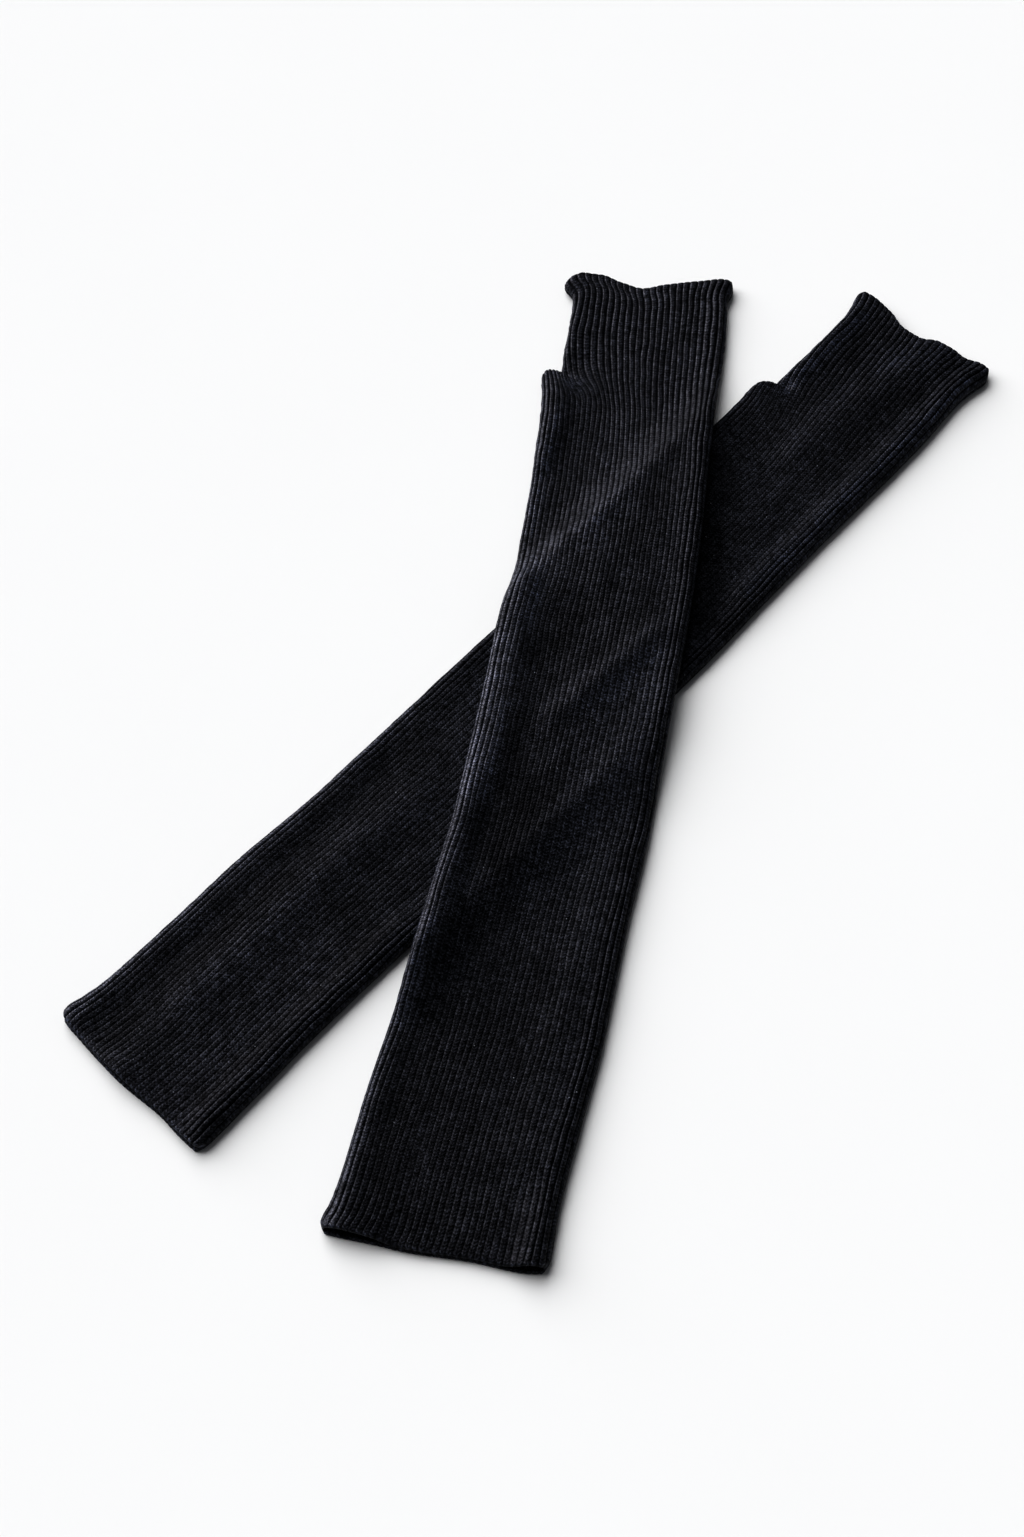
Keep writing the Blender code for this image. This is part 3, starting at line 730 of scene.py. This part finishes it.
def cord_relief(warmer, hand, rib, along, upward, inset):
    """How far the cords stand out of the cloth or sink into it, in millimetres."""
    crest = cord_shape(rib)
    cord, gap = np.floor(rib), np.round(rib)
    uneven = (1 + noise(LONG_LUMPS, cord * LONG_LUMP_STEP, along, warmer.seed)
              + noise(SHORT_LUMPS, cord * SHORT_LUMP_STEP, along, warmer.seed))
    deep = 1 + noise(GAP_DEPTHS, gap * GAP_STEP, along, warmer.seed)
    # shallow under the tube, where it lies flat
    flat = smooth_step(np.arcsin(np.clip(-upward, 0.0, 1.0)) / FADE_ANGLE)
    top_of_cord = CREST * uneven * (1 - flat)
    between = VALLEY * deep * (1 - BELOW_GAP_LOSS * flat)
    relief = cord_stand(warmer, hand, rib, along) * (between * (1 - crest) + top_of_cord * crest)
    from_rim = warmer.length - along if hand else along
    relief = relief * (1 - RIM_FLATNESS * (1 - smooth_step(from_rim / RIM_FADE)))
    return relief * np.cos(np.clip(inset / WALL, 0, 1) * math.pi / 2) ** INNER_FADE


def swayed_round(warmer, hand, rib, along):
    """Place round a tube of each rib, with a little sway between the thumb and the edge."""
    sway = (noise(WIDE_SWAY, rib, along, warmer.seed)
            + noise(SMALL_SWAY, rib, along, warmer.seed))
    sway = sway * smooth_step(np.abs(along - warmer.thumb) / SWAY_SEAM)
    sway = sway * smooth_step(from_wrap(hand, rib) / SWAY_WRAP)
    return (hand_round if hand else arm_round)(warmer, rib + sway, along)


def sag_left(warmer, hand, along):
    """Left side that the top sags from: at the thumb, the hand tube's is the arm's."""
    if not hand:
        return read(warmer.sections, "left", along)
    jut = (read(warmer.sections, "left", warmer.thumb)
           - read(warmer.hand_sections, "left", warmer.thumb))
    near = 1 - smooth_step(np.abs(along - warmer.thumb) / JUT_REACH)
    return read(warmer.hand_sections, "left", along) + jut * near


def thumb_step(warmer, hand, rib, along, above):
    """Rise of the thumb's lip, or drop of the hand tube that comes out from behind it."""
    from_seam = np.abs(along - warmer.thumb)
    if not hand:
        lip = lip_share(rib, hand) * above
        return LIP_RISE * lip * (1 - smooth_step(from_seam / LIP_RISE_REACH))
    behind = smooth_step((THUMB_RIBS + BEHIND_RIBS - rib) / BEHIND_RIBS)
    behind = np.where(rib > FACE_RIBS, 1.0, behind) * above
    return -BEHIND_LIP * behind * (1 - smooth_step(from_seam / BEHIND_REACH))


def cloth(warmer, hand, along, rib, inset):
    """Points of a tube's wall, in metres, at courses and ribs, inset from the outer face."""
    rows = warmer.hand_sections if hand else warmer.sections
    left, right = read(rows, "left", along), read(rows, "right", along)
    round_ = swayed_round(warmer, hand, rib, along)
    across, height, outward, upward = section_point(round_, left, right, inset)
    above = np.where(upward > 0, upward, 0.0) ** 2
    below = np.where(upward < 0, upward, 0.0) ** 2
    change = top_change(warmer, along, across, sag_left(warmer, hand, along), right)
    height = height + above * change
    room = 2 * FOLD_RADIUS - 2 * WALL + change - HOLLOW_MARGIN
    hollow = folds_rise(warmer.below, along, across)
    height = height + below * np.minimum(hollow, HOLLOW_SHARE * np.maximum(room, 0.0))
    height = height + thumb_step(warmer, hand, rib, along, above)
    relief = cord_relief(warmer, hand, rib, along, upward, inset)
    across = across + relief * outward
    height = height + relief * upward
    x, y = to_plan(warmer, along + edge_offset(warmer, hand, along, across), across)
    height = np.maximum(height, LEAST_HEIGHT)
    if warmer.rides:
        height = height + ride(x, y)
    return np.stack([x, y, height], axis=-1) * MM


def rib_places(hand):
    """Rib coordinates of the points round a tube, close on top and wider below."""
    start = first_rib(hand)
    end = start + (HAND_RIBS if hand else ARM_RIBS)
    places = []
    for rib in range(start, end):
        hidden = FACE_RIBS + RIGHT_TURN_RIBS <= rib < end - LEFT_TURN_RIBS
        steps = BELOW_STEPS if hidden and not hand else TOP_STEPS
        places += [rib + step for step in steps]
    return np.array(places)


def lip_share(rib, hand):
    """1 on the ribs that end at the thumb's mouth, 0 on those that go on as the hand."""
    if hand:
        return np.zeros_like(rib)
    beyond = np.minimum(rib, ARM_RIBS - rib)
    return smooth_step((THUMB_RIBS + LIP_MARGIN - beyond) / LIP_BLEND)


def tube_rings(warmer, hand, rib):
    """Course and inset of every ring of a tube: outside, far rim, inside and near rim."""
    if hand:
        start, end, count = warmer.thumb - SEAM_OVERLAP, warmer.length, HAND_RINGS
        near_rim, far_rim = np.zeros_like(rib), np.ones_like(rib)
    else:
        start, end, count = 0.0, warmer.thumb, ARM_RINGS
        near_rim, far_rim = np.ones_like(rib), lip_share(rib, hand)
    cut = SCALLOP * (1 - cord_shape(rib))
    first = start + RIM * near_rim
    last = end - RIM * far_rim
    rings, insets = [], []
    for k in range(count + 1):
        rings.append(first + (last - first) * k / count)
        insets.append(0.0)
    for k in range(1, RIM_RINGS + 1):
        turn = math.pi * k / (RIM_RINGS + 1)
        rings.append(last + RIM * far_rim * math.sin(turn))
        insets.append(WALL / 2 * (1 - math.cos(turn)))
    for k in range(INNER_RINGS + 1):
        t = k / INNER_RINGS
        rings.append(last + (first - last) * t)
        insets.append(WALL)
    for k in range(1, RIM_RINGS + 1):
        turn = math.pi * k / (RIM_RINGS + 1)
        rings.append(first - RIM * near_rim * math.sin(turn))
        insets.append(WALL / 2 * (1 + math.cos(turn)))
    along = np.array(rings)
    inset = np.repeat(np.array(insets)[:, None], len(rib), axis=1)
    near_cut = cut * near_rim * (1 - smooth_step((along - start) / SCALLOP_REACH))
    far_cut = cut * far_rim * (1 - smooth_step((end - along) / SCALLOP_REACH))
    return along + near_cut - far_cut, inset


def painted_shading_gain(warmer, along, across):
    """Painted light and shade at places on the cloth, as a gain on its colour: 1 on average,
    over 1 for painted highlights, under 1 for painted shade and shadow.
    """
    lighter = np.zeros(np.broadcast(along, across).shape)
    darker = np.zeros(lighter.shape)
    for row in warmer.naps:
        part = np.exp(-(line_distance(along, across, row) / row.spread) ** 2)
        part = (part * abs(math.log(row.gain))) ** FOLD_JOIN
        if row.gain > 1:
            lighter += part
        else:
            darker += part
    return np.exp(lighter ** (1 / FOLD_JOIN) - darker ** (1 / FOLD_JOIN))


def closed_mesh(name, points, uv, seam_ring, seam_corners):
    """Quads over a grid of points that joins up both ways, as a smooth mesh."""
    rings, around = points.shape[:2]
    i, j = np.meshgrid(np.arange(rings), np.arange(around), indexing="ij")
    ni, nj = (i + 1) % rings, (j + 1) % around
    quads = np.stack([i * around + j, ni * around + j, ni * around + nj, i * around + nj],
                     axis=-1).reshape(-1, 4)
    corner_uv = np.stack([uv[i, j], uv[ni, j], uv[ni, nj], uv[i, nj]], axis=2)
    corner_uv[:, -1, 2:, 0] = math.ceil(uv[0, -1, 0])
    corner_uv = corner_uv.reshape(-1, 2)
    flat = points.reshape(-1, 3)
    a, b, c = flat[quads[:, 0]], flat[quads[:, 1]], flat[quads[:, 2]]
    d = flat[quads[:, 3]]
    volume = (a * np.cross(b, c)).sum() + (a * np.cross(c, d)).sum()
    if volume < 0:
        quads = quads[:, ::-1]
        corner_uv = corner_uv.reshape(-1, 4, 2)[:, ::-1].reshape(-1, 2)
    mesh = bpy.data.meshes.new(name)
    mesh.vertices.add(len(flat))
    mesh.vertices.foreach_set("co", flat.ravel())
    mesh.loops.add(quads.size)
    mesh.loops.foreach_set("vertex_index", quads.ravel().astype(np.int32))
    mesh.polygons.add(len(quads))
    mesh.polygons.foreach_set("loop_start", np.arange(0, quads.size, 4, dtype=np.int32))
    mesh.update(calc_edges=True)
    layer = mesh.uv_layers.new(name="knit")
    layer.uv.foreach_set("vector", corner_uv.ravel().astype(np.float32))
    mesh.validate()
    mesh.shade_smooth()
    ends = np.empty(len(mesh.edges) * 2, dtype=np.int32)
    mesh.edges.foreach_get("vertices", ends)
    ends = ends.reshape(-1, 2)
    on_seam = (ends // around == seam_ring) & seam_corners[ends % around]
    sharp = mesh.attributes.new("sharp_edge", "BOOLEAN", "EDGE")
    sharp.data.foreach_set("value", on_seam.all(axis=1))
    return mesh


def cut_size(warmer, hand):
    """Width all round and length of a tube's cloth, laid out flat, in metres."""
    rows = warmer.hand_sections if hand else warmer.sections
    start, end = (warmer.thumb, warmer.length) if hand else (0.0, warmer.thumb)
    along = np.linspace(start, end, FLAT_SAMPLES)
    faces = arc_length(read(rows, "left", along), read(rows, "right", along))
    return round(2 * float(faces.mean()) * MM, 3), round((end - start) * MM, 3)


def put(name, data, material=None):
    """A new object in the scene for a mesh, camera or light."""
    item = bpy.data.objects.new(name, data)
    bpy.context.scene.collection.objects.link(item)
    if material:
        data.materials.append(material)
    return item


def tube(warmer, hand, material):
    """The dressed form of one stretch of an arm warmer, in place of its solid."""
    node = warmer.name + ("_hand_tube" if hand else "_arm_tube")
    rib = rib_places(hand)
    along, inset = tube_rings(warmer, hand, rib)
    ribs = np.broadcast_to(rib, along.shape)
    points = cloth(warmer, hand, along, ribs, inset)
    uv = np.stack([ribs, along / COURSE], axis=-1)
    seam_corners = lip_share(rib, hand) < NEARLY_NONE
    mesh = closed_mesh(node + "_knit", points, uv, 0 if hand else ARM_RINGS, seam_corners)
    # painted light and shade on the colour, from the rows of painted highlights, shade and
    # shadow
    gain = painted_shading_gain(warmer, *from_plan(warmer, points[..., 0] / MM, points[..., 1] / MM))
    if not hand:
        # painted light on the elbow rim, which faces away from the light
        gain[-RIM_RINGS:] *= RIM_PAINTED_LIGHT
    stand = np.clip(cord_stand(warmer, hand, ribs, along), 0.0, 1.0)
    for name, values in (("nap", gain), ("drawn", stand)):
        layer = mesh.attributes.new(name, "FLOAT", "POINT")
        layer.data.foreach_set("value", values.ravel().astype(np.float32))
    piece = put(node + "_knit", mesh, material)
    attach(piece, "root")
    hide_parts(node)
    return piece


class Nodes:
    """Short hand for building a material's node tree."""

    def __init__(self, material):
        material.use_nodes = True
        self.tree = material.node_tree
        self.shader = self.tree.nodes["Principled BSDF"]

    def feed(self, socket, value):
        if isinstance(value, bpy.types.NodeSocket):
            self.tree.links.new(value, socket)
        elif value is not None:
            socket.default_value = value

    def math(self, operation, *values):
        node = self.tree.nodes.new("ShaderNodeMath")
        node.operation = operation
        for socket, value in zip(node.inputs, values):
            self.feed(socket, value)
        return node.outputs[0]

    def times(self, value, factor):
        return self.math("MULTIPLY", value, factor)

    def line(self, value, gain, base):
        """The value times gain, plus base."""
        return self.math("MULTIPLY_ADD", value, gain, base)

    def attribute(self, name):
        node = self.tree.nodes.new("ShaderNodeAttribute")
        node.attribute_name = name
        return node.outputs["Fac"]

    def constants(self, **inputs):
        """Values that are the same all over, on the shader's own sockets."""
        for name, value in inputs.items():
            self.shader.inputs[name.replace("_", " ")].default_value = value

    def add(self, kind, output, **inputs):
        node = self.tree.nodes.new(kind)
        for name, value in inputs.items():
            self.feed(node.inputs[name.replace("_", " ")], value)
        return node.outputs[output]

    def steps(self, value, low, high, out_low=0.0, out_high=1.0):
        """A smooth step from out_low, at low, to out_high, at high."""
        node = self.tree.nodes.new("ShaderNodeMapRange")
        node.interpolation_type = "SMOOTHSTEP"
        for name, number in (("From Min", low), ("From Max", high),
                             ("To Min", out_low), ("To Max", out_high)):
            node.inputs[name].default_value = number
        self.feed(node.inputs["Value"], value)
        return node.outputs["Result"]

    def mix(self, factor, low, high):
        node = self.tree.nodes.new("ShaderNodeMix")
        node.data_type = "RGBA"
        self.feed(node.inputs[0], factor)
        self.feed(node.inputs[6], low)
        self.feed(node.inputs[7], high)
        return node.outputs[2]


def knit_material():
    """Matt near-black wool rib: cords with small V stitches, painted shade in the gaps and
    between stitch legs, painted light and shade on the folds, and lint.
    """
    material = bpy.data.materials.new("black_rib_knit")
    n = Nodes(material)
    uv_node = n.tree.nodes.new("ShaderNodeUVMap")
    uv_node.uv_map = "knit"
    split = n.tree.nodes.new("ShaderNodeSeparateXYZ")
    n.feed(split.inputs[0], uv_node.outputs[0])
    u, v = split.outputs[0], split.outputs[1]
    where = n.tree.nodes.new("ShaderNodeTexCoord").outputs["Object"]

    # place across a cord, 0 on its crest and 1 in the gap
    side = n.math("ABSOLUTE", n.line(n.math("FRACT", u), gain=2.0, base=-1.0))
    cell = n.add("ShaderNodeCombineXYZ", 0, X=n.math("FLOOR", u), Y=n.times(v, SWAY_STRETCH))
    sway = n.add("ShaderNodeTexNoise", 0, Vector=cell, Scale=1.0, Detail=2.0)
    course = n.math("ADD", n.line(side, gain=-V_SLANT, base=v), n.times(sway, COURSE_SWAY))
    leg = n.line(n.math("COSINE", n.times(course, 2 * math.pi)), gain=0.5, base=0.5)
    # one value for each half stitch, so that some are fuller and paler than others
    half = n.add("ShaderNodeCombineXYZ", 0, X=n.math("FLOOR", n.times(u, 2.0)),
                 Y=n.math("FLOOR", course))
    stitch_tone = n.tree.nodes.new("ShaderNodeTexWhiteNoise")
    stitch_tone.noise_dimensions = "2D"
    n.feed(stitch_tone.inputs["Vector"], half)
    drawn = n.attribute("drawn")
    groove = n.steps(side, 0.0, GROOVE_WIDTH, out_low=1.0, out_high=0.0)
    fibre = n.add("ShaderNodeTexNoise", 0, Vector=where, Scale=FIBRE_SCALE, Detail=3.0,
                  Roughness=0.65)
    clump = n.add("ShaderNodeTexNoise", 0, Vector=where, Scale=CLUMP_SCALE, Detail=2.0)
    cloud = n.add("ShaderNodeTexNoise", 0, Vector=where, Scale=CLOUD_SCALE, Detail=2.0)
    cord = n.math("SUBTRACT", 1.0, n.times(side, side))
    height = n.times(n.times(leg, cord), STITCH_BUMP)
    height = n.line(groove, gain=-GROOVE_BUMP, base=height)
    height = n.line(fibre, gain=FIBRE_BUMP, base=height)
    height = n.line(clump, gain=CLUMP_BUMP, base=height)
    bump = n.tree.nodes.new("ShaderNodeBump")
    bump.inputs["Strength"].default_value = 1.0
    bump.inputs["Distance"].default_value = MM
    n.feed(bump.inputs["Height"], height)
    n.feed(n.shader.inputs["Normal"], bump.outputs[0])

    # colour: painted shade in the gaps between cords, deeper where the cords stand out, and
    # between the stitch legs, with random tone of stitches, fibres, clumps and clouds, then the
    # painted light and shade of the folds
    gap_shade = n.times(n.steps(side, 0.6, 0.98), n.line(drawn, gain=0.75, base=0.25))
    light = n.line(gap_shade, gain=-0.85, base=1.0)
    light = n.times(light, n.line(leg, gain=0.75, base=0.35))
    light = n.times(light, n.line(stitch_tone.outputs["Value"], gain=0.8, base=0.65))
    light = n.times(light, n.steps(fibre, 0.36, 0.66, out_low=0.2, out_high=2.2))
    light = n.times(light, n.steps(clump, 0.3, 0.7, out_low=0.3, out_high=1.7))
    light = n.times(light, n.steps(cloud, 0.3, 0.7, out_low=0.75, out_high=1.25))
    colour = n.mix(n.times(light, 0.25), DARK_FIBRE_AND_GAP_SHADE_COLOUR, NAP_COLOUR)
    nap = n.attribute("nap")
    scaled = n.tree.nodes.new("ShaderNodeVectorMath")
    scaled.operation = "SCALE"
    n.feed(scaled.inputs[0], colour)
    n.feed(scaled.inputs["Scale"], nap)
    # sparse pale lint
    lint = n.tree.nodes.new("ShaderNodeTexVoronoi")
    n.feed(lint.inputs["Vector"], where)
    lint.inputs["Scale"].default_value = LINT_SCALE
    patch = n.add("ShaderNodeSeparateColor", 0, Color=lint.outputs["Color"])
    rare = n.math("GREATER_THAN", patch, LINT_FREE)
    speck = n.times(rare, n.steps(lint.outputs["Distance"], 0.10, 0.05))
    n.feed(n.shader.inputs["Base Color"], n.mix(speck, scaled.outputs[0], LINT_COLOUR))
    n.feed(n.shader.inputs["Roughness"], n.steps(light, 0.0, 1.0, out_low=0.75, out_high=0.6))
    # coat of shine, reflected on the folds' normals and not the bumped fibres; its weight is
    # raised by the painted highlights and lowered by the painted shade
    sheen = n.times(n.steps(light, -0.6, 1.8), nap)
    n.feed(n.shader.inputs["Coat Weight"], n.times(sheen, 0.5))
    n.constants(Specular_IOR_Level=0.04, Coat_Roughness=0.47, Coat_IOR=1.3,
                Coat_Tint=COAT_TINT, Sheen_Weight=0.02, Sheen_Roughness=0.30,
                Sheen_Tint=SHEEN_TINT)
    return material


def floor_material():
    """Plain pale studio floor with the faintest mottle."""
    material = bpy.data.materials.new("pale_floor")
    n = Nodes(material)
    where = n.tree.nodes.new("ShaderNodeTexCoord").outputs["Object"]
    mottle = n.add("ShaderNodeTexNoise", 0, Vector=where, Scale=MOTTLE_SCALE, Detail=2.0)
    n.feed(n.shader.inputs["Base Color"], n.mix(mottle, FLOOR_LOW, FLOOR_HIGH))
    n.constants(Roughness=1.0, Specular_IOR_Level=0.0)
    return material


def aim(thing, place, at):
    """Put a camera or light at a place, looking at a point."""
    thing.location = place
    thing.rotation_euler = (Vector(at) - Vector(place)).to_track_quat("-Z", "Y").to_euler()


def camera():
    """The photograph's view: 53 degrees down from 1.25 m, on a long lens."""
    data = bpy.data.cameras.new("camera")
    data.sensor_fit = "VERTICAL"
    data.sensor_height = SENSOR_HEIGHT
    data.lens = LENS
    item = put("camera", data)
    aim(item, CAMERA_PLACE, CAMERA_AIM)
    bpy.context.scene.camera = item


def softbox(row):
    """A soft source from a direction, as wide as the row's angle."""
    data = bpy.data.lights.new(row.name, "SUN")
    data.energy = row.energy
    data.angle = math.radians(row.angle)
    item = put(row.name, data)
    aim(item, row.place, (0.0, 0.0, 0.0))
    return item


def lights():
    """A very large soft source to the upper left, its bright middle, and a pale surround."""
    wide = softbox(WIDE_LIGHT)
    wide.visible_glossy = False
    middle = softbox(MIDDLE_LIGHT)
    middle.data.color = MIDDLE_COLOUR
    middle.visible_diffuse = False
    world = bpy.data.worlds.new("surround")
    world.use_nodes = True
    background = world.node_tree.nodes["Background"]
    background.inputs["Color"].default_value = SURROUND_COLOUR
    background.inputs["Strength"].default_value = SURROUND_STRENGTH
    bpy.context.scene.world = world
    view = bpy.context.scene.view_settings
    view.view_transform = "Standard"
    view.gamma = VIEW_GAMMA


def floor():
    """The surface that the pair lies on."""
    mesh = bpy.data.meshes.new("floor")
    half = FLOOR_HALF
    corners = [(-half, -half, 0), (half, -half, 0), (half, half, 0), (-half, half, 0)]
    mesh.from_pydata(corners, [], [(0, 1, 2, 3)])
    piece = put("floor", mesh, floor_material())


def main():
    camera()
    lights()
    floor()
    knit = knit_material()
    for warmer in (UNDER, OVER):
        for hand in (False, True):
            piece = tube(warmer, hand, knit)
            cut_size(warmer, hand)


main()
